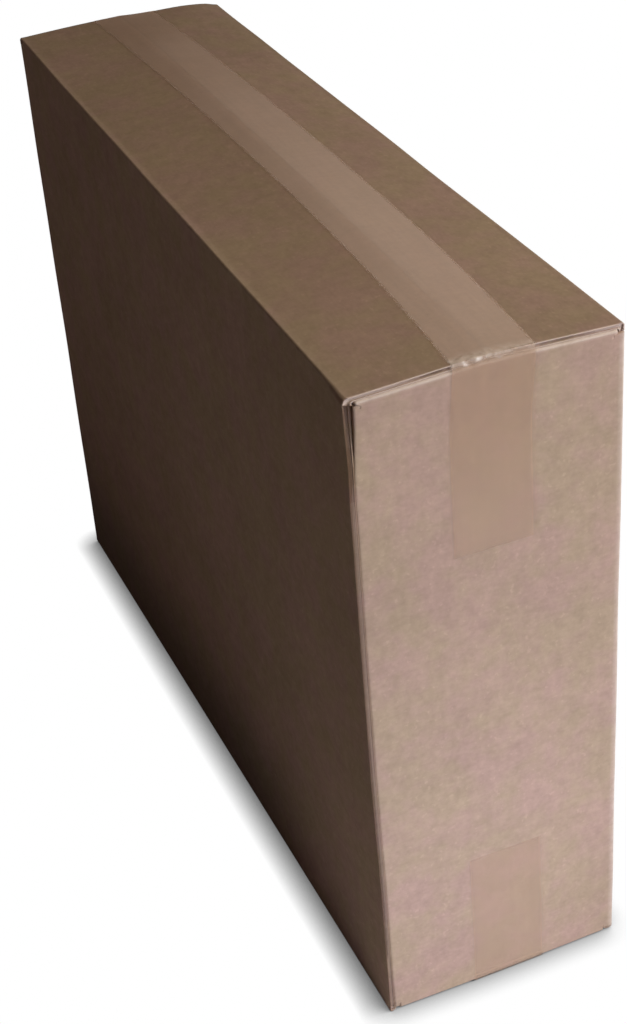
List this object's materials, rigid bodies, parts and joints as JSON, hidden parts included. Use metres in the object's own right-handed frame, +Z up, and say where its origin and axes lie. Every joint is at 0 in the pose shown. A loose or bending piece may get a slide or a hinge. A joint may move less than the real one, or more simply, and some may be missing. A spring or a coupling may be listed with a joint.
{
  "type": "closed cardboard box",
  "caption": "Closed, tall and narrow corrugated cardboard shipping box, its top and bottom seams sealed with packing tape.",
  "frame": {"origin": "middle of the footprint, on the surface that the box stands on", "axes": "+X along the box, towards the end wall whose corner shows the glued joint; +Y across the box; +Z up"},
  "size_m": [0.5602, 0.15, 0.4273],
  "materials": {
    "board": "matt unbleached kraft liner with fine fibre mottling",
    "tape": "clear brownish packing tape, slightly glossy, showing the board through it"
  },
  "bodies": {
    "root": {"carton": "board", "top_tape": "tape", "bottom_tape": "tape"}
  },
  "joints": []
}
